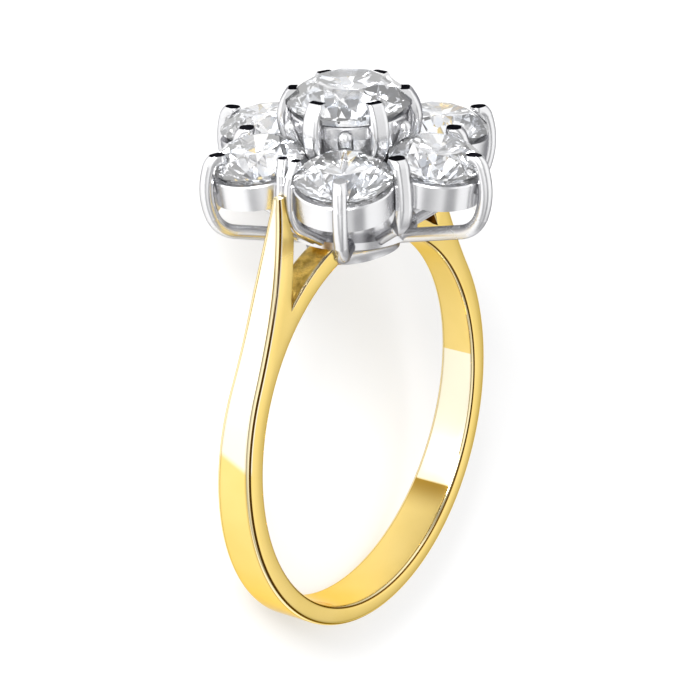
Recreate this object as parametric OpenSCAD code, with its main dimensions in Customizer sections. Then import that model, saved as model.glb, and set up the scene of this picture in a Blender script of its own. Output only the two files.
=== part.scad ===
// Seven-stone cluster ring, lying on its side as it rests by itself.
// The ring is drawn upright first: X across the shoulders, Y along the finger, Z up through the head.
// It is then laid on its side: the head points to -Y and the ring touches z = 0 with its
// shank at the back and with one outer claw.

/* [Band] */
// Inner diameter of the band
finger_d = 17; // [15:0.1:20]
// Thickness of the band at the back of the finger
band_back_t = 0.92; // [0.7:0.02:1.4]
// How much thicker the band is beside the finger than at its back
band_growth = 0.18; // [0:0.02:0.4]
// Width of the band at the back of the finger
band_back_w = 2.44; // [2:0.02:3]
// Width of the band beside the finger
band_side_w = 1.9; // [1.6:0.02:2.4]

/* [Shoulders] */
// Angle from the top of the ring at which the shoulders leave the round band
shoulder_deg = 62; // [56:1:66]
// Share of the finger radius above which the sides curve in to the shoulder tips
side_curve_start = 0.82; // [0.7:0.01:0.9]
// Thickness of the shoulder tip outside the claw that it leans on
tip_t = 0.45; // [0.3:0.01:0.7]
// Height of the shoulder tip below the girdles of the outer stones
tip_drop = 0.83; // [0.4:0.01:1.2]
// Width of the blunt end of a shoulder tip
tip_w = 0.5; // [0.3:0.02:0.8]
// Thickness of the inner arm, between the finger and the window
inner_arm_t = 1; // [0.7:0.02:1.2]
// Angle from the top of the ring at which the window comes to its point
window_deg = 37.8; // [34:0.2:42]

/* [Stones] */
// Diameter of each of the six outer stones
outer_stone_d = 4.2; // [3.6:0.05:4.6]
// Diameter of the raised stone in the middle
centre_stone_d = 5.44; // [4.8:0.05:5.8]
// Gap between the girdles of neighbouring outer stones
stone_spacing = 0.26; // [0.2:0.01:0.4]
// Outward lean of the outer stones
stone_lean_deg = 8; // [4:1:12]
// Height of the outer girdles above the finger
outer_stone_rise = 4.76; // [4.4:0.02:5.4]
// Height of the middle girdle above the outer girdles
centre_stone_rise = 1.94; // [1.7:0.02:2.2]
// Width of the table as a share of the stone's diameter
table_share = 0.56; // [0.52:0.01:0.62]
// Height of the crown as a share of the stone's diameter
crown_share = 0.15; // [0.13:0.005:0.17]
// Depth of the pavilion as a share of the stone's diameter
pavilion_share = 0.43; // [0.41:0.005:0.44]
// Thickness of the girdle as a share of the stone's diameter
girdle_share = 0.03; // [0.02:0.002:0.04]

/* [Collets] */
// How far an outer collet reaches past the girdle of its stone
collet_reach = 0.04; // [0:0.01:0.1]
// Height of an outer collet
collet_h = 1.12; // [0.8:0.02:1.3]
// Wall of an outer collet below its seat
collet_t = 0.62; // [0.5:0.02:0.8]
// Drop from a girdle to the top of its collet
collet_drop = 0.35; // [0.25:0.01:0.45]
// How far the middle collet stays inside the girdle of its stone
centre_collet_inset = 0.14; // [0.1:0.01:0.2]
// Bore of the tube below the middle stone
tube_bore_d = 2.4; // [2:0.1:2.8]

/* [Claws] */
// Diameter of the round outer claws
claw_d = 0.62; // [0.54:0.01:0.7]
// Thickness of a claw between two stones
junction_t = 0.56; // [0.5:0.01:0.6]
// Width of a claw between two stones
junction_w = 0.78; // [0.7:0.01:0.9]
// Diameter of the legs that carry the claws between the stones
junction_leg_d = 0.44; // [0.4:0.01:0.5]
// Diameter of the two wires of a split claw at the shoulders
split_wire_d = 0.46; // [0.4:0.01:0.5]
// Thickness of a claw of the middle stone
centre_claw_t = 0.5; // [0.44:0.01:0.6]
// Widest part of a claw of the middle stone
centre_claw_w = 0.86; // [0.76:0.01:0.96]
// Diameter of the short inner claws of the outer stones
inner_claw_d = 0.66; // [0.56:0.01:0.76]

/* [Base] */
// Height of the rim of the base above the finger
base_rise = 1.12; // [1:0.02:1.4]
// Height of the rim itself, above its hollow foot
base_rim_h = 0.34; // [0.3:0.02:0.44]
// Diameter of the base where it meets the finger
base_d = 4.1; // [3.8:0.05:4.5]
// Diameter of the rim of the base
base_rim_d = 5.7; // [5.5:0.05:5.9]

/* [Fits] */
// Gap between a stone and the metal round it
stone_gap = 0.04; // [0.03:0.005:0.06]
// Gap between the shank and the head
metal_gap = 0.04; // [0.03:0.005:0.06]

/* [Hidden] */
$fn = 96;
outer_count = 6;
step_deg = 360 / outer_count;
finger_r = finger_d / 2;

// Stones: radii, levels and the circle on which the outer stones stand
outer_r = outer_stone_d / 2;
centre_r = centre_stone_d / 2;
cluster_r = outer_stone_d + stone_spacing;
outer_z = finger_r + outer_stone_rise;
centre_z = outer_z + centre_stone_rise;
facet_count = 8;
star_r_share = 0.76;
lower_half_share = 0.24;

// Inner and outer points of an outer girdle, seen in the plane through its middle
girdle_in_r = cluster_r - outer_r * cos(stone_lean_deg);
girdle_in_z = outer_z + outer_r * sin(stone_lean_deg);
girdle_out_r = cluster_r + outer_r * cos(stone_lean_deg);
girdle_out_z = outer_z - outer_r * sin(stone_lean_deg);

// Base: a foot hollowed by a round cove, and the rim that carries the legs of the claws
base_r = base_d / 2;
base_rim_r = base_rim_d / 2;
base_top = finger_r + base_rise;
base_low = base_top - base_rim_h;
base_sink = 0.7;
cove_z = finger_r - 0.2;
cove_r = (pow(base_rim_r - base_r, 2) + pow(base_low - cove_z, 2)) / 2 / (base_rim_r - base_r);
leg_z = base_top - base_rim_h / 2;
leg_slope = 0.26;
tube_clearance = 0.12;
tube_r = girdle_in_r - tube_clearance;

// Collet of an outer stone: lowest outer point, in the upright plane through its middle
collet_r = outer_r + collet_reach;
collet_low_r = cluster_r + collet_r * cos(stone_lean_deg)
    - (collet_drop + collet_h) * sin(stone_lean_deg);
collet_low_z = outer_z - collet_r * sin(stone_lean_deg)
    - (collet_drop + collet_h) * cos(stone_lean_deg);

// Claw paths: angles are measured from the outward direction, in the upright plane of the claw
claw_r = claw_d / 2;
claw_top_deg = 20;
claw_low_deg = 22;
claw_foot_deg = 75.5;
claw_tip_deg = 85;
claw_tip_bend = 0.5;
claw_foot_bend = 1.45;
claw_foot_rise = 0.48;
claw_tip_rise = 0.65;
claw_foot_z = base_top + claw_foot_rise;
claw_tip_z = girdle_out_z + claw_tip_rise;
claw_low_z = claw_foot_z + claw_foot_bend * (1 - sin(claw_low_deg));
claw_top_z = claw_tip_z - claw_tip_bend * (sin(claw_tip_deg) - sin(claw_top_deg));
claw_bow_r = (claw_top_z - claw_low_z) / (sin(claw_top_deg) + sin(claw_low_deg));
claw_bow_z = claw_low_z + claw_bow_r * sin(claw_low_deg);
claw_bulge = girdle_out_r + claw_r;
// Height of the flat cut on a tip above the middle of its wire, as a share of the wire's radius
tip_cut_share = 0.5;
gusset_t = 0.3;
gusset_drop = 0.35;

junction_r = junction_t / 2;
junction_off = (junction_w - junction_t) / 2;
junction_low_deg = 4;
junction_foot_deg = 60;
junction_tip_bend = 0.42;
junction_foot_bend = 1.6;
junction_reach = 0.42;
junction_tip_rise = 0.5;
junction_bow_drop = 1.16;
junction_tip_z = outer_z + junction_tip_rise;
junction_top_z = junction_tip_z - junction_tip_bend * (sin(claw_tip_deg) - sin(claw_top_deg));
junction_bow_z = outer_z - junction_bow_drop;
junction_bow_r = (junction_top_z - junction_bow_z) / sin(claw_top_deg);
junction_bulge = cluster_r * cos(step_deg / 2)
    + sqrt(pow(outer_r + junction_reach, 2) - pow(cluster_r * sin(step_deg / 2), 2));
junction_bow_rho = junction_bulge - junction_bow_r;
junction_foot_rho = junction_bow_rho + (junction_bow_r - junction_foot_bend) * cos(junction_low_deg);
junction_foot_z = junction_bow_z - (junction_bow_r - junction_foot_bend) * sin(junction_low_deg);
junction_taper_r = 2.5;
junction_taper_drop = 1.56;
junction_taper_z = outer_z - junction_taper_drop;
// Web between two collets, and how far it stays inside the outer face of its claw
web_w = junction_w * 1.2;
web_h = collet_h * 0.85;
web_inset = 0.17;

split_r = split_wire_d / 2;
split_overlap = 0.03;
split_off = split_r - split_overlap;
split_start_deg = 10;
split_mid_deg = 15;
split_mid_off = 0.05;
split_tip_off = 0.14;
split_tip_in = 0.3;
leg_share = 0.96;

centre_claw_top_deg = 38;
centre_claw_low_deg = 50;
centre_claw_tip_deg = 80;
centre_claw_tip_bend = 0.35;
centre_claw_drop = 0.2;
centre_claw_rise = 0.28;
centre_claw_low_z = outer_z - centre_claw_drop;
centre_claw_top_z = centre_z + centre_claw_rise;
centre_bow_r = (centre_claw_top_z - centre_claw_low_z)
    / (sin(centre_claw_top_deg) + sin(centre_claw_low_deg));
centre_bow_z = centre_claw_low_z + centre_bow_r * sin(centre_claw_low_deg);
centre_claw_reach = 0.18;
centre_claw_bulge = centre_r + centre_claw_reach;
centre_leaf_r = 9;
centre_tip_reach = 0.32;
centre_tip_slope = 20;
knuckle = 1.02;

// Inner claw of an outer stone: how far it rises over the girdle and reaches over the stone
inner_claw_rise = 0.82;
inner_claw_over = 0.4;
inner_claw_drop = 0.66;

// Middle collet: levels of its top, its straight band and its flare, below the two girdles
centre_collet_drop = 0.45;
centre_collet_h = 0.55;
centre_collet_t = 0.5;
flare_drop = 0.1;
seat_drop = 2;
edge = 0.06;

// Shoulder tip: its place, and the arc that leaves the band and runs up to it
tip_x = junction_bulge + split_r + tip_t;
tip_z = outer_z - tip_drop;
band_r = finger_r + band_back_t + band_growth;
leave_x = band_r * sin(shoulder_deg);
leave_z = band_growth + band_r * cos(shoulder_deg);
tip_rise = tip_z - band_growth;
tip_along = tip_x * sin(shoulder_deg) + tip_rise * cos(shoulder_deg);
shoulder_r = (pow(band_r, 2) + pow(tip_x, 2) + pow(tip_rise, 2) - 2 * band_r * tip_along)
    / (2 * (tip_along - band_r));
arm_overlap = 0.1;
arm_top_drop = 1.4;
arm_top_x = junction_bulge - arm_overlap;
arm_top_z = tip_z - arm_top_drop;
window_x = (finger_r + inner_arm_t) * sin(window_deg);
window_z = (finger_r + inner_arm_t) * cos(window_deg);

// Sides of the band: a straight taper, then an arch that closes at the shoulder tip
taper = (band_back_w - band_side_w) / 2 / (finger_r + band_back_t);
taper_len = sqrt(1 + taper * taper);
// Height, as a share of the finger radius, up to which the outside of the band stays round
leave_share = 0.7;
side_start_z = side_curve_start * finger_r;
side_start_y = band_side_w / 2 - taper * side_start_z;
arch_rise = tip_z - side_start_z;
arch_in = side_start_y - tip_w / 2;
arch_r = (pow(arch_in, 2) + pow(arch_rise, 2)) / (2 * (arch_in - arch_rise * taper) / taper_len);

// Rest on the side: the tilt of the line that touches the back of the shank and one outer claw
back_z = -(finger_r + band_back_t);
back_y = band_back_w / 2;
rest_y = claw_bulge - claw_bow_r - back_y;
rest_z = claw_bow_z - back_z;
rest_deg = atan(rest_y / rest_z) + asin((claw_bow_r + claw_r) / norm([rest_y, rest_z]));
lift = back_y * cos(rest_deg) - back_z * sin(rest_deg);
far_z = centre_z + centre_r * (2 * crown_share + girdle_share);
far_y = centre_r * table_share;
back_reach = back_z * cos(rest_deg) - back_y * sin(rest_deg);
head_reach = far_z * cos(rest_deg) + far_y * sin(rest_deg);
centre_shift = (back_reach + head_reach) / 2;

// Lays the upright ring on its side
module at_rest() {
    translate([0, centre_shift, lift]) rotate([90 - rest_deg, 0, 0]) children();
}

// Turns a sketch in X and Z, and what is pushed out of it, into the upright plane
module upright(width) {
    rotate([90, 0, 0]) linear_extrude(width, center = true) children();
}

// Outline of one shoulder, from the round band up to its tip
module shoulder_sketch() {
    inner_slope = (window_x - arm_top_x) / (arm_top_z - window_z);
    root_z = window_z - inner_arm_t;
    over_tip_z = tip_z + tip_t;
    difference() {
        polygon([[leave_x, leave_z], [leave_x, over_tip_z], [arm_top_x, over_tip_z],
                 [arm_top_x, arm_top_z], [window_x + inner_slope * inner_arm_t, root_z],
                 [leave_x - inner_arm_t / 2, leave_z - inner_arm_t / 4]]);
        translate([(band_r + shoulder_r) * sin(shoulder_deg),
                   band_growth + (band_r + shoulder_r) * cos(shoulder_deg)])
            circle(shoulder_r, $fn = 360);
    }
}

// Outline of the whole band with both shoulders, open at the two windows
module band_sketch() {
    low_top = leave_share * finger_r;
    difference() {
        union() {
            intersection() {
                circle(finger_r + inner_arm_t);
                translate([-2 * band_r, leave_z]) square(4 * band_r);
            }
            intersection() {
                translate([0, band_growth]) circle(band_r);
                translate([-2 * band_r, low_top - 4 * band_r]) square(4 * band_r);
            }
            shoulder_sketch();
            mirror([1, 0]) shoulder_sketch();
        }
        circle(finger_r);
    }
}

// Outline of the band seen along X, from the wide back to the pointed shoulder tips
module side_sketch() {
    low_z = back_z - 1;
    low_y = band_side_w / 2 - taper * low_z;
    polygon([[-low_y, low_z], [low_y, low_z], [side_start_y, side_start_z],
             [-side_start_y, side_start_z]]);
    intersection() {
        translate([-side_start_y, side_start_z]) square([2 * side_start_y, arch_rise]);
        arch_side(1);
        arch_side(-1);
    }
}

module arch_side(side) {
    translate([side * (side_start_y - arch_r / taper_len), side_start_z - arch_r * taper / taper_len])
        circle(arch_r, $fn = 360);
}

// Round base on the finger, grown by a gap where the shank is cut free of it
module base_body(grow) {
    rotate_extrude() difference() {
        translate([0, finger_r - base_sink]) square([base_rim_r + grow, base_rise + base_sink + grow]);
        difference() {
            translate([base_r + grow, finger_r - base_sink - 1])
                square([base_rim_r, base_low - finger_r + base_sink + 1 - grow]);
            difference() {
                translate([base_r, cove_z]) square([2 * cove_r, 2 * cove_r]);
                translate([base_r + cove_r, cove_z]) circle(cove_r - grow);
            }
        }
    }
}

// Arc of wire in the upright plane, with the wire's cross-section as its child
module wire_arc(rho, z, bend, from_deg, to_deg) {
    translate([rho, 0, z]) rotate([90, 0, 0]) rotate([0, 0, from_deg])
        rotate_extrude(angle = to_deg - from_deg) translate([bend, 0]) children();
}

// Round end or joint of a wire that is as wide as two wires side by side
module knuckle_at(rho, z, wire_r, off) {
    translate([rho, 0, z]) {
        for (side = [-1, 1]) translate([0, side * off, 0]) sphere(wire_r, $fn = 48);
        if (off > 0) rotate([90, 0, 0]) cylinder(h = 2 * off, r = wire_r, center = true, $fn = 48);
    }
}

module wire_section(wire_r, off) {
    if (off > 0) {
        for (side = [-1, 1]) translate([0, side * off]) circle(wire_r, $fn = 48);
        square([2 * wire_r, 2 * off], center = true);
    } else {
        circle(wire_r, $fn = 48);
    }
}

// Bowed claw: a foot bend, a long bow and a tip bend, one after the other
module bowed_claw(bulge, bow_z, bow_r, low_deg, foot_bend, foot_deg, tip_bend, wire_r, off) {
    bow_rho = bulge - bow_r;
    foot_rho = bow_rho + (bow_r - foot_bend) * cos(low_deg);
    foot_z = bow_z - (bow_r - foot_bend) * sin(low_deg);
    tip_rho = bow_rho + (bow_r - tip_bend) * cos(claw_top_deg);
    tip_mid_z = bow_z + (bow_r - tip_bend) * sin(claw_top_deg);
    wire_arc(bow_rho, bow_z, bow_r, -low_deg, claw_top_deg) wire_section(wire_r, off);
    wire_arc(foot_rho, foot_z, foot_bend, -foot_deg, -low_deg) wire_section(wire_r, off);
    wire_arc(tip_rho, tip_mid_z, tip_bend, claw_top_deg, claw_tip_deg) wire_section(wire_r, off);
    knuckle_at(bow_rho + bow_r * cos(low_deg), bow_z - bow_r * sin(low_deg), wire_r * knuckle, off);
    knuckle_at(bow_rho + bow_r * cos(claw_top_deg), bow_z + bow_r * sin(claw_top_deg),
               wire_r * knuckle, off);
    knuckle_at(tip_rho + tip_bend * cos(claw_tip_deg), tip_mid_z + tip_bend * sin(claw_tip_deg),
               wire_r * knuckle, off);
}

// Outer claw of one outer stone, with its leg to the base and the gusset to its collet
module outer_claw() {
    foot_rho = claw_bulge - claw_bow_r + (claw_bow_r - claw_foot_bend) * cos(claw_low_deg);
    foot_z = claw_foot_z + claw_foot_bend;
    gusset_r = collet_low_r - collet_t / 4;
    gusset_top = collet_low_z + collet_h / 2;
    difference() {
        bowed_claw(claw_bulge, claw_bow_z, claw_bow_r, claw_low_deg, claw_foot_bend, claw_foot_deg,
                   claw_tip_bend, claw_r, 0);
        translate([girdle_out_r - outer_r, -claw_d, claw_tip_z + claw_r * tip_cut_share])
            cube([outer_stone_d, 2 * claw_d, claw_d]);
    }
    rod([foot_rho + claw_foot_bend * cos(claw_foot_deg), 0,
         foot_z - claw_foot_bend * sin(claw_foot_deg)],
        [tube_r, 0, leg_z - (base_rim_r - tube_r) * leg_slope], claw_r);
    rotate([90, 0, 0]) linear_extrude(gusset_t, center = true)
        polygon([[gusset_r, collet_low_z], [claw_bulge - claw_r, collet_low_z - gusset_drop],
                 [claw_bulge - claw_r / 2, collet_low_z], [claw_bulge - claw_r / 2, gusset_top],
                 [gusset_r, gusset_top]]);
}

// Leg of a claw between two stones, from the end of its foot bend down to the base
module junction_leg(leg_r, side) {
    rod([junction_foot_rho + junction_foot_bend * cos(junction_foot_deg), side,
         junction_foot_z - junction_foot_bend * sin(junction_foot_deg)],
        [base_rim_r - base_rim_h, side, leg_z], leg_r);
}

// Broad claw between two outer stones, slim at its foot and cut flat at its tip
module junction_claw() {
    intersection() {
        bowed_claw(junction_bulge, junction_bow_z, junction_bow_r, junction_low_deg,
                   junction_foot_bend, junction_foot_deg, junction_tip_bend, junction_r, junction_off);
        rotate([90, 0, 90]) linear_extrude(2 * junction_bulge) {
            intersection() {
                leaf_side(1, junction_w / 2, junction_taper_r, junction_taper_z);
                leaf_side(-1, junction_w / 2, junction_taper_r, junction_taper_z);
            }
            translate([-junction_w, junction_taper_z])
                square([2 * junction_w,
                        junction_tip_z + junction_r * tip_cut_share - junction_taper_z]);
        }
    }
    junction_leg(junction_leg_d / 2, 0);
}

module leaf_side(side, half_w, leaf_r, mid_z) {
    translate([side * (leaf_r - half_w), mid_z]) circle(leaf_r, $fn = 180);
}

// Claw of two wires at a shoulder: side by side below, parted over the two stones above
module split_claw() {
    low_rho = junction_bow_rho + junction_bow_r * cos(split_start_deg);
    low_z = junction_bow_z + junction_bow_r * sin(split_start_deg);
    mid_rho = junction_bow_rho + junction_bow_r * cos(split_mid_deg);
    mid_z = junction_bow_z + junction_bow_r * sin(split_mid_deg);
    over_tip_z = junction_tip_z + split_r * tip_cut_share;
    difference() {
        for (side = [-1, 1]) {
            translate([0, side * split_off, 0]) {
                wire_arc(junction_bow_rho, junction_bow_z, junction_bow_r, -junction_low_deg,
                         split_start_deg)
                    wire_section(split_r, 0);
                wire_arc(junction_foot_rho, junction_foot_z, junction_foot_bend, -junction_foot_deg,
                         -junction_low_deg)
                    wire_section(split_r, 0);
                knuckle_at(junction_bow_rho + junction_bow_r * cos(junction_low_deg),
                           junction_bow_z - junction_bow_r * sin(junction_low_deg),
                           split_r * knuckle, 0);
            }
            rod([low_rho, side * split_off, low_z],
                [mid_rho, side * (split_off + split_mid_off), mid_z], split_r);
            rod([mid_rho, side * (split_off + split_mid_off), mid_z],
                [mid_rho - split_tip_in, side * (split_off + split_tip_off), junction_tip_z], split_r);
        }
        translate([junction_bulge - outer_r, -junction_w, over_tip_z])
            cube([2 * outer_r, 2 * junction_w, split_wire_d]);
    }
    for (side = [-1, 1]) junction_leg(split_r * leg_share, side * split_off);
}

// Round rod between two points, with round ends
module rod(from, to, rod_r) {
    along = to - from;
    translate(from) {
        sphere(rod_r * knuckle, $fn = 48);
        rotate([0, acos(along[2] / norm(along)), atan2(along[1], along[0])])
            cylinder(h = norm(along), r = rod_r, $fn = 48);
    }
    translate(to) sphere(rod_r * knuckle, $fn = 48);
}

// Claw of the middle stone, broad at half height, slim at both ends and cut flat at its tip
module centre_claw() {
    wire_r = centre_claw_t / 2;
    claw_off = (centre_claw_w - centre_claw_t) / 2;
    bow_rho = centre_claw_bulge - centre_bow_r;
    tip_rho = bow_rho + (centre_bow_r - centre_claw_tip_bend) * cos(centre_claw_top_deg);
    tip_mid_z = centre_bow_z + (centre_bow_r - centre_claw_tip_bend) * sin(centre_claw_top_deg);
    end_rho = tip_rho + centre_claw_tip_bend * cos(centre_claw_tip_deg);
    end_z = tip_mid_z + centre_claw_tip_bend * sin(centre_claw_tip_deg);
    flat_z = end_z + wire_r * tip_cut_share;
    low_z = centre_claw_low_z - centre_claw_t;
    intersection() {
        union() {
            wire_arc(bow_rho, centre_bow_z, centre_bow_r, -centre_claw_low_deg, centre_claw_top_deg)
                wire_section(wire_r, claw_off);
            wire_arc(tip_rho, tip_mid_z, centre_claw_tip_bend, centre_claw_top_deg,
                     centre_claw_tip_deg)
                wire_section(wire_r, claw_off);
            knuckle_at(bow_rho + centre_bow_r * cos(centre_claw_top_deg),
                       centre_bow_z + centre_bow_r * sin(centre_claw_top_deg),
                       wire_r * knuckle, claw_off);
            knuckle_at(end_rho, end_z, wire_r * knuckle, claw_off);
            translate([end_rho, 0, end_z]) rotate([0, -90 - centre_tip_slope, 0])
                linear_extrude(centre_tip_reach) wire_section(wire_r, claw_off);
            knuckle_at(end_rho - centre_tip_reach * cos(centre_tip_slope),
                       end_z - centre_tip_reach * sin(centre_tip_slope), wire_r * knuckle, claw_off);
        }
        rotate([90, 0, 90]) linear_extrude(2 * centre_claw_bulge) intersection() {
            leaf_side(1, centre_claw_w / 2, centre_leaf_r, centre_bow_z);
            leaf_side(-1, centre_claw_w / 2, centre_leaf_r, centre_bow_z);
            translate([-centre_claw_w, low_z]) square([2 * centre_claw_w, flat_z - low_z]);
        }
    }
}

// Solder between the middle collet and one of its claws, hidden behind the claw
module centre_solder() {
    inner_x = centre_r - centre_collet_inset - centre_collet_t / 2;
    outer_x = centre_claw_bulge - centre_claw_t / 2;
    translate([inner_x, -centre_claw_t / 2, centre_z - centre_collet_drop - centre_collet_h])
        cube([outer_x - inner_x, centre_claw_t, centre_collet_h - edge]);
}

// Collet of one outer stone, drawn round its own upright middle line with the girdle at z = 0
module outer_collet() {
    rotate_extrude()
        polygon([[collet_r - collet_t, -collet_drop - collet_h], [collet_r, -collet_drop - collet_h],
                 [collet_r, -collet_drop - edge], [collet_r - edge, -collet_drop],
                 [collet_r - collet_t, -collet_drop]]);
}

// Tube, middle collet and bore, turned round the middle line
module centre_tube() {
    top_r = centre_r - centre_collet_inset;
    top_z = centre_z - centre_collet_drop;
    flare_z = outer_z - flare_drop;
    bore_r = tube_bore_d / 2;
    rotate_extrude()
        polygon([[bore_r, leg_z], [tube_r, leg_z], [tube_r, flare_z], [top_r, top_z - centre_collet_h],
                 [top_r, top_z - edge], [top_r - edge, top_z], [top_r - centre_collet_t, top_z],
                 [bore_r, centre_z - seat_drop]]);
}

// Space taken by a round brilliant with the given gap round it, girdle at z = 0
module stone_space(stone_r, gap) {
    girdle_h = stone_r * girdle_share;
    crown_h = stone_r * 2 * crown_share + girdle_h;
    pavilion_h = stone_r * 2 * pavilion_share + girdle_h;
    table_r = stone_r * table_share;
    slope = (crown_h - girdle_h) / (stone_r - table_r);
    star_r = stone_r * star_r_share;
    star_z = crown_h - (star_r * cos(180 / facet_count) - table_r) * slope;
    half_gap = gap / 2;
    rotate_extrude()
        polygon([[0, -pavilion_h - gap - half_gap], [stone_r + gap, -girdle_h - half_gap],
                 [stone_r + gap, girdle_h + half_gap], [star_r + half_gap, star_z + gap],
                 [table_r + half_gap, crown_h + gap], [0, crown_h + gap]]);
}

// Carries a piece of one outer stone to its place, leaning outward
module at_outer_stone(k) {
    rotate([0, 0, step_deg / 2 + (k - 1) * step_deg]) translate([cluster_r, 0, outer_z])
        rotate([0, stone_lean_deg, 0]) children();
}

module finger_hole() {
    rotate([90, 0, 0]) cylinder(h = 2 * cluster_r, r = finger_r, center = true, $fn = 180);
}

// Points of one ring of corners of a cut stone
function ring_points(r, z, first_deg, count) =
    [for (k = [0 : count - 1]) let (turn = first_deg + k * 360 / count) [r * cos(turn), r * sin(turn), z]];

// Round brilliant: table, star, kite, upper and lower half facets, girdle and mains
module brilliant(stone_r) {
    half = 180 / facet_count;
    girdle_h = stone_r * girdle_share;
    crown_h = stone_r * 2 * crown_share + girdle_h;
    pavilion_h = stone_r * 2 * pavilion_share + girdle_h;
    table_r = stone_r * table_share;
    crown_slope = (crown_h - girdle_h) / (stone_r - table_r);
    pavilion_slope = (pavilion_h - girdle_h) / stone_r;
    star_r = stone_r * star_r_share;
    star_z = crown_h - (star_r * cos(half) - table_r) * crown_slope;
    tail_r = stone_r * lower_half_share;
    tail_z = -girdle_h - (stone_r - tail_r * cos(half)) * pavilion_slope;
    // Height of the middle of a half facet where it meets the round girdle
    chord = stone_r * cos(half / 2);
    upper_dip = (star_z - girdle_h) * (stone_r - chord) / (chord - star_r * cos(half / 2));
    lower_dip = (-girdle_h - tail_z) * (stone_r - chord) / (chord - tail_r * cos(half / 2));
    table = ring_points(table_r, crown_h, 0, facet_count);
    star = ring_points(star_r, star_z, half, facet_count);
    upper = [for (k = [0 : 4 * facet_count - 1])
        [stone_r * cos(k * half / 2), stone_r * sin(k * half / 2),
         k % 2 == 0 ? girdle_h : girdle_h - min(upper_dip, girdle_h * 0.8)]];
    lower = [for (k = [0 : 4 * facet_count - 1])
        [stone_r * cos(k * half / 2), stone_r * sin(k * half / 2),
         k % 2 == 0 ? -girdle_h : -girdle_h + min(lower_dip, girdle_h * 0.8)]];
    tail = ring_points(tail_r, tail_z, half, facet_count);
    points = concat(table, star, upper, lower, tail, [[0, 0, -pavilion_h]]);
    n = facet_count;
    t0 = 0;
    s0 = n;
    u0 = 2 * n;
    l0 = 6 * n;
    p0 = 10 * n;
    culet = 11 * n;
    faces = concat(
        [[for (k = [0 : n - 1]) t0 + n - 1 - k]],
        [for (k = [0 : n - 1]) [t0 + k, t0 + (k + 1) % n, s0 + k]],
        [for (k = [0 : n - 1]) [t0 + k, s0 + k, u0 + 4 * k, s0 + (k + n - 1) % n]],
        [for (k = [0 : n - 1]) each [
            [s0 + k, u0 + 4 * k + 1, u0 + 4 * k],
            [s0 + k, u0 + 4 * k + 2, u0 + 4 * k + 1],
            [s0 + k, u0 + 4 * k + 3, u0 + 4 * k + 2],
            [s0 + k, u0 + (4 * k + 4) % (4 * n), u0 + 4 * k + 3]]],
        [for (k = [0 : 4 * n - 1])
            [u0 + k, u0 + (k + 1) % (4 * n), l0 + (k + 1) % (4 * n), l0 + k]],
        [for (k = [0 : n - 1]) each [
            [p0 + k, l0 + 4 * k, l0 + 4 * k + 1],
            [p0 + k, l0 + 4 * k + 1, l0 + 4 * k + 2],
            [p0 + k, l0 + 4 * k + 2, l0 + 4 * k + 3],
            [p0 + k, l0 + 4 * k + 3, l0 + (4 * k + 4) % (4 * n)]]],
        [for (k = [0 : n - 1]) [culet, p0 + (k + n - 1) % n, l0 + 4 * k, p0 + k]]);
    polyhedron(points, faces);
}

// The band with its shoulders, cut free of the finger, the base and the claws it leans on
module shank() {
    at_rest() color("gold") difference() {
        intersection() {
            upright(band_back_w + 1) band_sketch();
            rotate([90, 0, 90]) linear_extrude(4 * band_r, center = true) side_sketch();
        }
        base_body(metal_gap);
        claw_space();
        mirror([1, 0, 0]) claw_space();
    }
}

// Everything inside the outer face of a split claw, with the gap to the shoulder
module claw_space() {
    space_r = split_r * knuckle + metal_gap;
    low_z = junction_foot_z - junction_foot_bend * sin(junction_foot_deg);
    upright(band_back_w + 2) intersection() {
        union() {
            translate([junction_bow_rho, junction_bow_z]) circle(junction_bow_r + space_r, $fn = 180);
            translate([junction_foot_rho, junction_foot_z])
                circle(junction_foot_bend + space_r, $fn = 180);
        }
        translate([0, low_z]) square([2 * junction_bulge, 2 * junction_bulge]);
    }
}

// The head without its cuts
module head_metal() {
    web_low = outer_z - collet_drop - collet_h;
    web_x = cluster_r * cos(step_deg / 2);
    base_body(0);
    centre_tube();
    for (k = [1 : outer_count]) at_outer_stone(k) outer_collet();
    for (k = [0 : outer_count - 1]) rotate([0, 0, step_deg / 2 + k * step_deg]) {
        outer_claw();
        rod([tube_r - inner_claw_d / 3, 0, outer_z - inner_claw_drop],
            [girdle_in_r + inner_claw_over, 0, girdle_in_z + inner_claw_rise], inner_claw_d / 2);
    }
    for (k = [0 : outer_count - 1]) rotate([0, 0, k * step_deg]) {
        centre_claw();
        centre_solder();
        if (k % (outer_count / 2) == 0) split_claw();
        else junction_claw();
        translate([web_x, -web_w / 2, web_low]) cube([junction_bulge - web_inset - web_x, web_w, web_h]);
    }
}

// The head: one soldered solid
module setting() {
    at_rest() color("gainsboro") difference() {
        head_metal();
        for (k = [1 : outer_count]) at_outer_stone(k) stone_space(outer_r, stone_gap);
        translate([0, 0, centre_z]) stone_space(centre_r, stone_gap);
        cylinder(h = outer_z, d = tube_bore_d);
        finger_hole();
    }
}

module centre_stone() {
    at_rest() color("white") translate([0, 0, centre_z]) brilliant(centre_r);
}

module outer_stone(k) {
    at_rest() color("white") at_outer_stone(k) brilliant(outer_r);
}

shank();
setting();
centre_stone();
for (k = [1 : outer_count]) outer_stone(k);
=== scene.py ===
"""Cluster ring lying on its side: polished materials, rounded band, floor, light and camera.

Sizes are in millimetres of the upright ring (X across the shoulders, Y along the finger,
Z up through the head) and are turned into the frame's metres, lying on the side, by at_rest().
"""

import math

import bpy
from mathutils import Matrix, Vector

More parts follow.
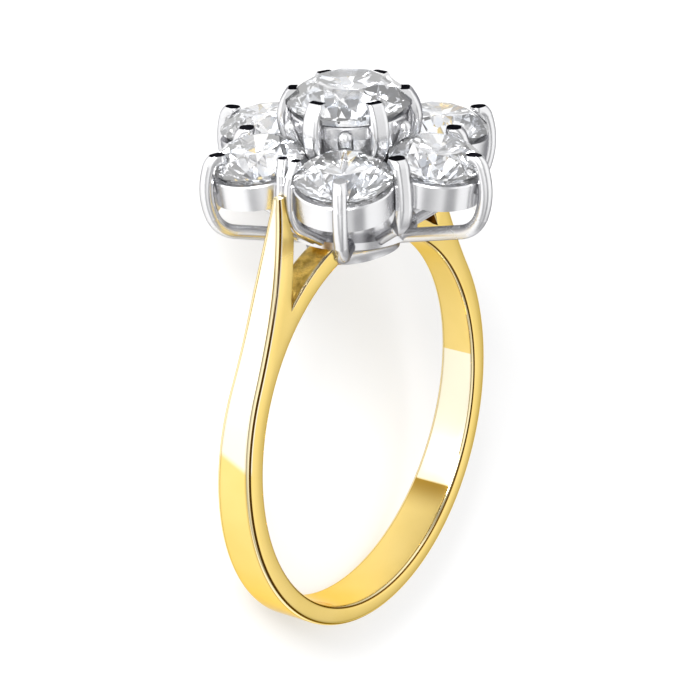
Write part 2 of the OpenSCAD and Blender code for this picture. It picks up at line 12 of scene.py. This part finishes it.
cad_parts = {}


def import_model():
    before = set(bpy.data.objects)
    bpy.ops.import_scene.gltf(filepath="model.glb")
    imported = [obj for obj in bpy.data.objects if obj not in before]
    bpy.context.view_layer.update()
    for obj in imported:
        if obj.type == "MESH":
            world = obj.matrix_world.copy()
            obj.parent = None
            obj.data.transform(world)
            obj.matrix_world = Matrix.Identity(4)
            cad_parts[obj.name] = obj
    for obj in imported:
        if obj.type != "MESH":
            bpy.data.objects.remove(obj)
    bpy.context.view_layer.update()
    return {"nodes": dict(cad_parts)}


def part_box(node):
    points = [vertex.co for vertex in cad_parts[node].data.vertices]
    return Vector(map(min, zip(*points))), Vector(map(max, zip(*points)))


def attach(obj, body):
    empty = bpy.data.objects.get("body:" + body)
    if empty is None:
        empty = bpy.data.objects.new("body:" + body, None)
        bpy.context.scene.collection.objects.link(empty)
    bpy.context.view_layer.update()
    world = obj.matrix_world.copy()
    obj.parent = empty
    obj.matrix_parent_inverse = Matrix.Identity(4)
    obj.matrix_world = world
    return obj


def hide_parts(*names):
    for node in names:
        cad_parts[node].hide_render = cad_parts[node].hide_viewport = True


MM = 0.001

# Band, as in the source of the solids
FINGER_R = 8.5
BAND_BACK_T = 0.92
BAND_GROWTH = 0.18
BAND_BACK_W = 2.44
BAND_SIDE_W = 1.9
INNER_ARM_T = 1.0
BAND_R = FINGER_R + BAND_BACK_T + BAND_GROWTH

# Shoulders
SHOULDER_DEG = 62
SIDE_CURVE_START = 0.82
WINDOW_DEG = 37.8
BASE_DEG = 14.6
TIP_X = 5.716
TIP_Z = 12.43
TIP_W = 0.5
ARM_TOP_X = 4.936
ARM_TOP_Z = 11.03

# Room that an outer arm leaves for the claw behind it: the claw's bow and its foot
CLAW_SPACE_X = 0.986
CLAW_SPACE_Z = 12.1
CLAW_SPACE_R = 4.325
CLAW_FOOT_X = 3.43
CLAW_FOOT_Z = 11.929
CLAW_FOOT_R = 1.875
CLAW_FOOT_SHARE = 0.86

# Roundings of the polished band: outer edges, finger edges, window edges
OUTER_ROUND = 0.25
FINGER_ROUND = 0.2
WINDOW_ROUND = 0.1

# How finely the band is drawn, and how far its sides fall away towards their edges
BAND_STEPS = 220
OUTER_ARM_STEPS = 46
INNER_ARM_STEPS = 30
ROUND_STEPS = 8
FLAT_STEPS = 3
SIDE_STEPS = 10
CROWN_SHARE = 0.25
CROWN_REACH = 0.7
MOST_ROUND_SHARE = 0.48

# Rest on the side
REST_DEG = 15.694
LIFT = 3.7227

# Polished gold: its two tones and its grain, and the satin that begins below the head
GOLD_DEEP = (0.86, 0.64, 0.2)
GOLD_PALE = (0.91, 0.69, 0.25)
GOLD_SPECULAR = (1, 0.82, 0.4, 1)
GOLD_GRAIN = 300
GOLD_BUMP = 0.05
GOLD_ROUGHNESS = (0.04, 0.06)
SATIN_ROUGHNESS = 0.28
SATIN_Z = (8, 10.5)

# Painted reflections on the gold, a pale colour: its outer faces from the tips down, and a part of
# the finger's wall
GOLD_PAINTED_REFLECTION = (0.97, 0.91, 0.72)
OUTER_FACE_REACH = (3, 5)
WALL_REACH = (-7.5, -8.3)
REFLECTION_OUTSIDE_Z = (1.5, 1.9)
REFLECTION_OUTSIDE_LEAN = 0.42
REFLECTION_WALL_FOOT_Z = (-5.9, -5.8)
REFLECTION_WALL_TOP_Z = (0.1, 0.05)

# Painted dark reflection: a dark strip across the finger's wall, under its pale painted reflection
GOLD_DARK = (0.4, 0.24, 0.04)
STRIP_FOOT_Z = (-7, -5.9)
STRIP_TOP_Z = (-5.85, -5.9)

# Painted reflections along the rounded edges, as thin dark, bright and dark lines: where each
# starts and ends as a face turns to the side, and its colour
EDGE_REFLECTION_LINES = (
    ((0.12, 0.28), GOLD_DARK),
    ((0.35, 0.62), (0.95, 0.84, 0.52)),
    ((0.64, 0.88), (0.16, 0.07, 0.004)),
)
EDGE_REFLECTION_SOFTNESS = 0.05

# Unpolished gold in the windows
CAST_BRIGHT = (0.95, 0.66, 0.16)
CAST_GRAIN = 1500
CAST_DETAIL = 4
CAST_GRAIN_ROUGHNESS = 0.6
CAST_SPREAD = (0.35, 0.65)
CAST_ROUGHNESS = 0.3
CAST_BUMP = 1
CAST_RELIEF = 0.15

# White metal, and a painted dark reflection on the flat ends of its claws: outer claws by two
# heights, middle claws by one
WHITE_LOW = (0.76, 0.76, 0.77)
WHITE_HIGH = (0.82, 0.82, 0.83)
WHITE_SPECULAR = (0.2, 0.2, 0.22, 1)
WHITE_GRAIN = 700
WHITE_BUMP = 0.08
WHITE_ROUGHNESS = (0.22, 0.28)
CLAW_END_PAINTED_DARK = (0.07, 0.07, 0.075)
CLAW_END_FACING = (0.82, 0.97)
OUTER_ENDS_FOOT_Z = (13.2, 13.3)
OUTER_ENDS_TOP_Z = (14.4, 14.3)
MIDDLE_ENDS_FOOT_Z = (15.2, 15.3)

# One outer claw has no painted dark reflection on its end: at this angle from X, it reaches further
# than its neighbours
UNDARKENED_CLAW_DEG = 30
UNDARKENED_CLAW_REACH = (5.4, 5.2)

# How noise becomes tone and relief on the polished metals
GRAIN_DETAIL = 3
GRAIN_SPREAD = (0.3, 0.7)
FINE_RELIEF = 0.01

# Stones
STONE_IOR = 2.42
STONE_GRAIN = 1300
STONE_SPREAD = (0.4, 0.55)
STONE_TINT = (0.86, 0.91, 1)
STONE_CLEAR = (1, 1, 1)
# Painted light: the stones glow faintly
STONE_GLOW = 0.025

# Floor: a painted pool of light, its colour and its glow pale near the ring, fading with the
# distance from it
FLOOR_HALF = 600
FLOOR_FADE = (45, 160)
FLOOR_NEAR = (0.6, 0.6, 0.6)
FLOOR_FAR = (0.35, 0.35, 0.36)
FLOOR_GLOW = 0.36
FLOOR_GLOW_NEAR = (1.0, 1.0, 1.0)
FLOOR_GLOW_FAR = (0.5, 0.5, 0.5)
FLOOR_ROUGHNESS = 0.5

# Studio: a white room, brighter above, with one darker opening. The opening's azimuth is measured
# round the upright ring, as the camera's is, and its edges are sines of angles
ROOM_LOW = (0.52, 0.52, 0.53)
ROOM_HIGH = (1.2, 1.2, 1.2)
ROOM_RISE = (0, 0.7)
OPENING = (0.43, 0.43, 0.44)
OPENING_AZIMUTH_DEG = 20
OPENING_HALF_WIDTH = (0.3, 0.15)
OPENING_SIDE = (0.1, 0.4)
KEY_PLACE = (95, -95, 65)
KEY_TARGET = (0, 0, 6)
KEY_SIZE = 60
KEY_WATTS = 0.3

# Camera in the upright ring's frame: it looks at the ring from its finger side
CAMERA_AZIMUTH_DEG = 55.452
CAMERA_ELEVATION_DEG = 23.834
CAMERA_ROLL_DEG = -1.575
CAMERA_DISTANCE = 129.905
CAMERA_RIGHT = -0.352
CAMERA_UP = 3.062
SENSOR_MM = 36
LENS_MM = 147.56
CLIP_NEAR = 1
CLIP_FAR = 5000


def rest_turn():
    """Turns a direction of the upright ring into the frame."""
    tilt = math.radians(REST_DEG)
    return Matrix((
        (1, 0, 0),
        (0, math.sin(tilt), -math.cos(tilt)),
        (0, math.cos(tilt), math.sin(tilt)),
    ))


def centre_shift():
    """How far the finger axis lies from the frame's origin along Y."""
    _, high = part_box("shank")
    tilt = math.radians(REST_DEG)
    back_z = -(FINGER_R + BAND_BACK_T)
    back_reach = back_z * math.cos(tilt) - BAND_BACK_W / 2 * math.sin(tilt)
    return high.y / MM + back_reach


def ring_middle():
    """The middle of the finger hole in the frame, in metres."""
    return Vector((0, centre_shift(), LIFT)) * MM


def make_placer():
    """Returns a function that places a point of the upright ring in the frame, in metres."""
    turn = rest_turn()
    shift = Vector((0, centre_shift(), LIFT))

    def at_rest(x, y, z):
        return (turn @ Vector((x, y, z)) + shift) * MM

    return at_rest


# Outlines of the band in the upright plane


def shoulder_circle():
    """Middle and radius of the arc that leaves the round band and runs up to a shoulder's tip."""
    rise = TIP_Z - BAND_GROWTH
    turn = math.radians(SHOULDER_DEG)
    along = TIP_X * math.sin(turn) + rise * math.cos(turn)
    r = (BAND_R**2 + TIP_X**2 + rise**2 - 2 * BAND_R * along) / (2 * (along - BAND_R))
    return (BAND_R + r) * math.sin(turn), BAND_GROWTH + (BAND_R + r) * math.cos(turn), r


def at_angle(r, angle):
    """Point of a circle round the finger's middle, its angle measured from the top."""
    return r * math.sin(angle), r * math.cos(angle)


def window_vertex():
    """Point of the window, where the two arms of a shoulder part."""
    return at_angle(FINGER_R + INNER_ARM_T, math.radians(WINDOW_DEG))


def arm_inner_x(z):
    """Inner side of the outer arm at a height: its straight side, then the claw's space."""
    vx, vz = window_vertex()
    straight = vx + (ARM_TOP_X - vx) * (z - vz) / (ARM_TOP_Z - vz)
    if z <= CLAW_FOOT_Z - CLAW_FOOT_R * CLAW_FOOT_SHARE:
        return straight
    bow = CLAW_SPACE_X + math.sqrt(max(CLAW_SPACE_R**2 - (z - CLAW_SPACE_Z) ** 2, 0))
    foot = CLAW_FOOT_X + math.sqrt(max(CLAW_FOOT_R**2 - (z - CLAW_FOOT_Z) ** 2, 0))
    return max(straight, bow, foot)


def outside_x(z):
    """Outside of a shoulder at a height."""
    cx, cz, r = shoulder_circle()
    return cx - math.sqrt(r * r - (z - cz) ** 2)


def on_outside(angle):
    """Point of the outside of band or shoulder, met by a line from the finger's middle."""
    if angle > math.pi:
        x, z = on_outside(2 * math.pi - angle)
        return -x, z
    # Round band, whose middle is a little above the finger's
    rise = BAND_GROWTH * math.cos(angle)
    x, z = at_angle(rise + math.sqrt(rise**2 - BAND_GROWTH**2 + BAND_R**2), angle)
    if math.atan2(x, z - BAND_GROWTH) >= math.radians(SHOULDER_DEG):
        return x, z
    cx, cz, r = shoulder_circle()
    along = cx * math.sin(angle) + cz * math.cos(angle)
    return at_angle(along - math.sqrt(max(along**2 - (cx**2 + cz**2 - r * r), 0)), angle)


def half_width(z):
    """Half width of the band at a height: a straight taper, then an arch to the blunt tip."""
    taper = (BAND_BACK_W - BAND_SIDE_W) / 2 / (FINGER_R + BAND_BACK_T)
    start_z = SIDE_CURVE_START * FINGER_R
    if z <= start_z:
        return BAND_SIDE_W / 2 - taper * z
    start_y = BAND_SIDE_W / 2 - taper * start_z
    rise = TIP_Z - start_z
    length = math.sqrt(1 + taper * taper)
    inward = start_y - TIP_W / 2
    r = (inward**2 + rise**2) / (2 * (inward - rise * taper) / length)
    cy = start_y - r / length
    cz = start_z - r * taper / length
    return max(cy + math.sqrt(max(r * r - (z - cz) ** 2, 0)), 0)


# Rounded cross-sections swept along the band


def section(inner, outer, inner_round, outer_round):
    """Closed loop of points round the band, between an inner and an outer point of its outline.

    It starts in the middle of the inner face, runs over the +Y side to the middle of the outer
    face, and comes back over the -Y side.
    """
    ix, iz = inner
    ox, oz = outer
    thick = math.hypot(ox - ix, oz - iz)
    most = MOST_ROUND_SHARE * min(thick, 2 * half_width(iz), 2 * half_width(oz))
    r_in, r_out = min(inner_round, most), min(outer_round, most)

    def point(depth, inset, spread):
        share = depth / thick if thick > 0 else 0
        x, z = ix + (ox - ix) * share, iz + (oz - iz) * share
        crown = CROWN_SHARE * (r_in * max(1 - depth / CROWN_REACH, 0) ** 2
                               + r_out * max(1 - (thick - depth) / CROWN_REACH, 0) ** 2)
        return x, spread * max(half_width(z) - crown - inset, 0), z

    turns = [math.pi / 2 * k / ROUND_STEPS for k in range(ROUND_STEPS + 1)]
    flat = [k / FLAT_STEPS for k in range(FLAT_STEPS)]
    half = [point(0, r_in, spread) for spread in flat]
    half += [point(r_in - r_in * math.cos(a), r_in - r_in * math.sin(a), 1) for a in turns]
    side = thick - r_in - r_out
    half += [point(r_in + side * k / SIDE_STEPS, 0, 1) for k in range(1, SIDE_STEPS)]
    half += [point(thick - r_out + r_out * math.sin(a), r_out - r_out * math.cos(a), 1)
             for a in turns]
    half += [point(thick, r_out, spread) for spread in flat[::-1]]
    return half + [(x, -y, z) for x, y, z in half[-2:0:-1]]


def shares(steps):
    """Even steps from 0 to 1."""
    return [k / steps for k in range(steps + 1)]


def band_loops():
    """The round band, from the point of one window round its back to the point of the other."""
    first = math.radians(WINDOW_DEG)
    angles = [first + 2 * (math.pi - first) * share for share in shares(BAND_STEPS)]
    return [section(at_angle(FINGER_R, angle), on_outside(angle), FINGER_ROUND, OUTER_ROUND)
            for angle in angles[::-1]]


def outer_arm_loops():
    """The outer arm of one shoulder, from the window's point to the tip."""
    _, vz = window_vertex()
    _, start_z = on_outside(math.radians(WINDOW_DEG))
    loops = []
    for share in shares(OUTER_ARM_STEPS):
        inner_z = vz + (TIP_Z - vz) * share
        outer_z = start_z + (TIP_Z - start_z) * share
        loops.append(section((arm_inner_x(inner_z), inner_z), (outside_x(outer_z), outer_z),
                             min(WINDOW_ROUND, share), OUTER_ROUND))
    return loops


def inner_arm_loops():
    """The inner arm of one shoulder, from the window's point to the base of the head."""
    loops = []
    for share in shares(INNER_ARM_STEPS):
        angle = math.radians(WINDOW_DEG + (BASE_DEG - WINDOW_DEG) * share)
        loops.append(section(at_angle(FINGER_R, angle), at_angle(FINGER_R + INNER_ARM_T, angle),
                             FINGER_ROUND, min(WINDOW_ROUND, share)))
    return loops


def window_quads(count, face):
    """Which quads of a loop make its inner or its outer face."""
    if face == "inner":
        return [k % count for k in range(-FLAT_STEPS, FLAT_STEPS)]
    if face == "outer":
        return [count // 2 + k for k in range(-FLAT_STEPS, FLAT_STEPS)]
    return []


def loft(skin, loops, at_rest, mirror=False, cast_face=None):
    """Adds a closed skin over a row of loops, with flat ends. Its window face is of cast gold."""
    verts, faces, materials = skin
    first = len(verts)
    count = len(loops[0])
    cast = window_quads(count, cast_face)

    def place(loop):
        for x, y, z in loop:
            verts.append(at_rest(-x if mirror else x, y, z))

    for loop in loops:
        place(loop)
    for i in range(len(loops) - 1):
        for k in range(count):
            a = first + i * count + k
            b = first + i * count + (k + 1) % count
            quad = (a, b, b + count, a + count)
            faces.append(quad[::-1] if mirror else quad)
            materials.append(1 if k in cast else 0)
    # Each end is closed by a face of its own corners, so that its edge stays sharp
    for loop, turned in ((loops[0], not mirror), (loops[-1], mirror)):
        cap = tuple(range(len(verts), len(verts) + count))
        place(loop)
        faces.append(cap[::-1] if turned else cap)
        materials.append(0)


def make_band(at_rest):
    """The polished band, which stands for the plain shank."""
    skin = [], [], []
    loft(skin, band_loops(), at_rest)
    for mirror in (False, True):
        loft(skin, outer_arm_loops(), at_rest, mirror, "inner")
        loft(skin, inner_arm_loops(), at_rest, mirror, "outer")
    verts, faces, materials = skin
    mesh = bpy.data.meshes.new("polished_shank")
    mesh.from_pydata(verts, [], faces)
    mesh.materials.append(gold_material())
    mesh.materials.append(cast_gold_material())
    mesh.polygons.foreach_set("material_index", materials)
    mesh.update()
    mesh.shade_smooth()
    band = bpy.data.objects.new("polished_shank", mesh)
    bpy.context.scene.collection.objects.link(band)
    band.modifiers.new("even_shading", "WEIGHTED_NORMAL").keep_sharp = True
    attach(band, "root")
    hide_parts("shank")


# Materials


class Nodes:
    """Short ways to add shader nodes to one material or world."""

    def __init__(self, tree):
        self.tree = tree

    def add(self, kind, **settings):
        node = self.tree.nodes.new("ShaderNode" + kind)
        for key, value in settings.items():
            setattr(node, key, value)
        return node

    def link(self, source, target):
        self.tree.links.new(source, target)

    def noise(self, scale, detail=2, rough=0.5):
        place = self.add("TexCoord")
        noise = self.add("TexNoise")
        noise.inputs["Scale"].default_value = scale
        noise.inputs["Detail"].default_value = detail
        noise.inputs["Roughness"].default_value = rough
        self.link(place.outputs["Object"], noise.inputs["Vector"])
        return noise.outputs["Fac"]

    def calculate(self, operation, *values):
        node = self.add("Math", operation=operation)
        for value, socket in zip(values, node.inputs):
            self.link(value, socket)
        return node.outputs[0]

    def product(self, first, second):
        return self.calculate("MULTIPLY", first, second)

    def larger(self, first, second):
        return self.calculate("MAXIMUM", first, second)

    def dot(self, vector, direction):
        dot = self.add("VectorMath", operation="DOT_PRODUCT")
        dot.inputs[1].default_value = direction
        self.link(vector, dot.inputs[0])
        return dot.outputs["Value"]

    def spread(self, value, low, high, to_low=0.0, to_high=1.0):
        """A smooth step of a value from one range into another."""
        spread = self.add("MapRange", interpolation_type="SMOOTHSTEP")
        spread.inputs["From Min"].default_value = low
        spread.inputs["From Max"].default_value = high
        spread.inputs["To Min"].default_value = to_low
        spread.inputs["To Max"].default_value = to_high
        self.link(value, spread.inputs["Value"])
        return spread.outputs["Result"]

    def facing(self, direction, low, high):
        """0 to 1 as the surface turns towards a fixed direction of the frame."""
        geometry = self.add("NewGeometry")
        return self.spread(self.dot(geometry.outputs["Normal"], direction), low, high)

    def beyond(self, direction, low, high):
        """0 to 1 between two distances from the finger's middle, along a direction of the ring."""
        geometry = self.add("NewGeometry")
        way = rest_turn() @ Vector(direction)
        foot = way.dot(ring_middle())
        reach = self.dot(geometry.outputs["Position"], way)
        return self.spread(reach, low * MM + foot, high * MM + foot)

    def above(self, low_z, high_z, lean=0):
        """0 to 1 between two heights of the upright ring, which may lean along the finger."""
        return self.beyond((0, lean, 1), low_z, high_z)

    def outward(self):
        """How far a face looks away from the finger's axis, in metres: less than 0 is the wall."""
        geometry = self.add("NewGeometry")
        arm = self.add("VectorMath", operation="SUBTRACT")
        self.link(geometry.outputs["Position"], arm.inputs[0])
        arm.inputs[1].default_value = ring_middle()
        dot = self.add("VectorMath", operation="DOT_PRODUCT")
        self.link(arm.outputs["Vector"], dot.inputs[0])
        self.link(geometry.outputs["True Normal"], dot.inputs[1])
        return dot.outputs["Value"]

    def ramp(self, value, places, *colours):
        ramp = self.add("ValToRGB")
        for element, place, colour in zip(ramp.color_ramp.elements, places, colours):
            element.position = place
            element.color = (*colour, 1)
        self.link(value, ramp.inputs["Fac"])
        return ramp.outputs["Color"]

    def mix(self, share, first, second):
        mix = self.add("Mix", data_type="RGBA")
        self.link(share, mix.inputs["Factor"])
        for socket, colour in ((mix.inputs[6], first), (mix.inputs[7], second)):
            if isinstance(colour, tuple):
                socket.default_value = (*colour, 1)
            else:
                self.link(colour, socket)
        return mix.outputs[2]

    def bump(self, height, strength, depth):
        relief = self.add("Bump")
        relief.inputs["Strength"].default_value = strength
        relief.inputs["Distance"].default_value = depth * MM
        self.link(height, relief.inputs["Height"])
        return relief.outputs["Normal"]


def new_material(name):
    """A node material, with short ways to its nodes and its shader."""
    material = bpy.data.materials.new(name)
    material.use_nodes = True
    return material, Nodes(material.node_tree), material.node_tree.nodes["Principled BSDF"]


def with_painted_edge_reflections(nodes, colour):
    """A colour with thin painted reflections along the rounded edges, by how far a face is turned
    to the side.
    """
    geometry = nodes.add("NewGeometry")
    side = rest_turn() @ Vector((0, 1, 0))
    turned = nodes.calculate("ABSOLUTE", nodes.dot(geometry.outputs["True Normal"], side))
    # Each line is a painted reflection: dark, then bright, then very dark
    for (start, end), reflection_colour in EDGE_REFLECTION_LINES:
        reflection_line = nodes.product(
            nodes.spread(turned, start - EDGE_REFLECTION_SOFTNESS, start + EDGE_REFLECTION_SOFTNESS),
            nodes.spread(turned, end + EDGE_REFLECTION_SOFTNESS, end - EDGE_REFLECTION_SOFTNESS))
        colour = nodes.mix(reflection_line, colour, reflection_colour)
    return colour


def gold_material():
    """Polished yellow gold, satin towards the head, with painted pale reflections on its faces, a
    painted dark strip on the finger's wall and painted reflection lines along its edges.
    """
    material, nodes, shader = new_material("polished_yellow_gold")
    shader.inputs["Metallic"].default_value = 1
    shader.inputs["Specular Tint"].default_value = GOLD_SPECULAR
    grain = nodes.noise(GOLD_GRAIN, GRAIN_DETAIL)
    glossy = nodes.spread(grain, *GRAIN_SPREAD, *GOLD_ROUGHNESS)
    satin = nodes.spread(nodes.above(*SATIN_Z), 0, 1, 0, SATIN_ROUGHNESS)
    nodes.link(nodes.larger(glossy, satin), shader.inputs["Roughness"])
    gold = nodes.ramp(grain, GRAIN_SPREAD, GOLD_DEEP, GOLD_PALE)

    outward = nodes.outward()
    outside, wall = (nodes.spread(outward, start * MM, end * MM)
                     for start, end in (OUTER_FACE_REACH, WALL_REACH))
    # Painted reflections: a pale colour on the outer faces and part of the wall, a dark strip on
    # the wall
    reflection_outside = nodes.product(outside, nodes.above(*REFLECTION_OUTSIDE_Z, REFLECTION_OUTSIDE_LEAN))
    wall_part = nodes.product(nodes.above(*REFLECTION_WALL_FOOT_Z), nodes.above(*REFLECTION_WALL_TOP_Z))
    painted_reflection = nodes.larger(reflection_outside, nodes.product(wall, wall_part))
    strip_part = nodes.product(nodes.above(*STRIP_FOOT_Z), nodes.above(*STRIP_TOP_Z))
    strip = nodes.product(wall, strip_part)
    shaded = nodes.mix(strip, nodes.mix(painted_reflection, gold, GOLD_PAINTED_REFLECTION), GOLD_DARK)
    nodes.link(with_painted_edge_reflections(nodes, shaded), shader.inputs["Base Color"])
    nodes.link(nodes.bump(grain, GOLD_BUMP, FINE_RELIEF), shader.inputs["Normal"])
    return material


def cast_gold_material():
    """Unpolished gold inside the windows, darker and mottled."""
    material, nodes, shader = new_material("cast_yellow_gold")
    shader.inputs["Metallic"].default_value = 1
    shader.inputs["Roughness"].default_value = CAST_ROUGHNESS
    lumps = nodes.noise(CAST_GRAIN, CAST_DETAIL, CAST_GRAIN_ROUGHNESS)
    mottle = nodes.ramp(lumps, CAST_SPREAD, GOLD_DARK, CAST_BRIGHT)
    nodes.link(mottle, shader.inputs["Base Color"])
    nodes.link(nodes.bump(lumps, CAST_BUMP, CAST_RELIEF), shader.inputs["Normal"])
    return material


def white_metal_material():
    """Polished white metal, with a painted dark reflection on the flat cut ends of all its claws
    but one.
    """
    material, nodes, shader = new_material("polished_white_metal")
    shader.inputs["Metallic"].default_value = 1
    shader.inputs["Specular Tint"].default_value = WHITE_SPECULAR
    grain = nodes.noise(WHITE_GRAIN, GRAIN_DETAIL)
    nodes.link(nodes.spread(grain, *GRAIN_SPREAD, *WHITE_ROUGHNESS), shader.inputs["Roughness"])
    bright = nodes.ramp(grain, GRAIN_SPREAD, WHITE_LOW, WHITE_HIGH)
    # Painted dark reflection on the flat claw ends, on all claws but one outer claw
    upward = nodes.facing(rest_turn() @ Vector((0, 0, 1)), *CLAW_END_FACING)
    outer_ends = nodes.product(nodes.above(*OUTER_ENDS_FOOT_Z), nodes.above(*OUTER_ENDS_TOP_Z))
    azimuth = math.radians(UNDARKENED_CLAW_DEG)
    other_claws = nodes.beyond((math.cos(azimuth), math.sin(azimuth), 0), *UNDARKENED_CLAW_REACH)
    outer_ends = nodes.product(outer_ends, other_claws)
    ends = nodes.product(upward, nodes.larger(outer_ends, nodes.above(*MIDDLE_ENDS_FOOT_Z)))
    nodes.link(nodes.mix(ends, bright, CLAW_END_PAINTED_DARK), shader.inputs["Base Color"])
    nodes.link(nodes.bump(grain, WHITE_BUMP, FINE_RELIEF), shader.inputs["Normal"])
    return material


def stone_material():
    """Colourless stone of a high refractive index, with a faint cool tint in places and a faint
    painted glow.
    """
    material, nodes, shader = new_material("colourless_stone")
    shader.inputs["Roughness"].default_value = 0
    shader.inputs["IOR"].default_value = STONE_IOR
    shader.inputs["Transmission Weight"].default_value = 1
    # Painted light: a faint glow of the stone
    shader.inputs["Emission Color"].default_value = (*STONE_CLEAR, 1)
    shader.inputs["Emission Strength"].default_value = STONE_GLOW
    tint = nodes.ramp(nodes.noise(STONE_GRAIN), STONE_SPREAD, STONE_TINT, STONE_CLEAR)
    nodes.link(tint, shader.inputs["Base Color"])
    return material


def dress_nodes(frame):
    """Gives the head its metal, and each stone its clear material."""
    white_metal = white_metal_material()
    stone = stone_material()
    for name, node in frame["nodes"].items():
        if name == "shank":
            continue
        node.data.materials.clear()
        node.data.materials.append(white_metal if name == "setting" else stone)


# Floor, light and camera


def make_floor():
    """Pale floor at z = 0, with a painted pool of light: its colour and glow are brighter near the
    ring.
    """
    half = FLOOR_HALF * MM
    mesh = bpy.data.meshes.new("floor")
    mesh.from_pydata([(-half, -half, 0), (half, -half, 0), (half, half, 0), (-half, half, 0)],
                     [], [(0, 1, 2, 3)])
    floor = bpy.data.objects.new("floor", mesh)
    bpy.context.scene.collection.objects.link(floor)
    material, nodes, shader = new_material("pale_floor")
    place = nodes.add("TexCoord")
    distance = nodes.add("VectorMath", operation="LENGTH")
    nodes.link(place.outputs["Object"], distance.inputs[0])
    # Painted pool of light: colour and glow brighter near the ring, darker far from it
    away = nodes.spread(distance.outputs["Value"], *(reach * MM for reach in FLOOR_FADE))
    nodes.link(nodes.mix(away, FLOOR_NEAR, FLOOR_FAR), shader.inputs["Base Color"])
    nodes.link(nodes.mix(away, FLOOR_GLOW_NEAR, FLOOR_GLOW_FAR), shader.inputs["Emission Color"])
    shader.inputs["Roughness"].default_value = FLOOR_ROUGHNESS
    shader.inputs["Emission Strength"].default_value = FLOOR_GLOW
    mesh.materials.append(material)


def make_world():
    """White room whose one darker opening, beside the camera, is mirrored by polished metal."""
    world = bpy.data.worlds.new("studio")
    bpy.context.scene.world = world
    world.use_nodes = True
    nodes = Nodes(world.node_tree)
    background = world.node_tree.nodes["Background"]
    view = nodes.add("TexCoord").outputs["Generated"]
    azimuth = math.radians(OPENING_AZIMUTH_DEG)
    ahead = rest_turn() @ Vector((math.sin(azimuth), math.cos(azimuth), 0))
    beside = rest_turn() @ Vector((-math.cos(azimuth), math.sin(azimuth), 0))
    from_middle = nodes.calculate("ABSOLUTE", nodes.dot(view, beside))
    edge, core = OPENING_HALF_WIDTH
    opening = nodes.product(nodes.spread(from_middle, core, edge, 1, 0),
                            nodes.spread(nodes.dot(view, ahead), *OPENING_SIDE))
    height = nodes.spread(nodes.dot(view, (0, 0, 1)), *ROOM_RISE)
    room = nodes.mix(height, ROOM_LOW, ROOM_HIGH)
    nodes.link(nodes.mix(opening, room, OPENING), background.inputs["Color"])


def make_key_light():
    """One soft square light, aimed at the middle of the ring."""
    data = bpy.data.lights.new("key", "AREA")
    data.energy = KEY_WATTS
    data.size = KEY_SIZE * MM
    light = bpy.data.objects.new("key", data)
    light.location = Vector(KEY_PLACE) * MM
    light.rotation_mode = "QUATERNION"
    towards = Vector(KEY_TARGET) * MM - light.location
    light.rotation_quaternion = towards.to_track_quat("-Z", "Y")
    bpy.context.scene.collection.objects.link(light)


def make_camera(at_rest):
    """Camera at the photograph's angle, placed round the upright ring and laid down with it."""
    azimuth, elevation, roll = map(
        math.radians, (CAMERA_AZIMUTH_DEG, CAMERA_ELEVATION_DEG, CAMERA_ROLL_DEG))
    back = Vector((math.sin(azimuth) * math.cos(elevation),
                   math.cos(azimuth) * math.cos(elevation), math.sin(elevation)))
    level = Vector((0, 0, 1)).cross(back).normalized()
    rise = back.cross(level)
    right = math.cos(roll) * level + math.sin(roll) * rise
    up = math.cos(roll) * rise - math.sin(roll) * level
    eye = back * CAMERA_DISTANCE + right * CAMERA_RIGHT + up * CAMERA_UP
    turn = rest_turn()
    data = bpy.data.cameras.new("camera")
    data.sensor_width = SENSOR_MM
    data.lens = LENS_MM
    data.clip_start = CLIP_NEAR * MM
    data.clip_end = CLIP_FAR * MM
    camera = bpy.data.objects.new("camera", data)
    axes = Matrix((turn @ right, turn @ up, turn @ back)).transposed().to_4x4()
    camera.matrix_world = Matrix.Translation(at_rest(*eye)) @ axes
    bpy.context.scene.collection.objects.link(camera)
    bpy.context.scene.camera = camera


def main():
    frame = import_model()
    at_rest = make_placer()
    make_camera(at_rest)
    make_band(at_rest)
    dress_nodes(frame)
    make_floor()
    make_world()
    make_key_light()
    bpy.context.scene.view_settings.view_transform = "Standard"


main()
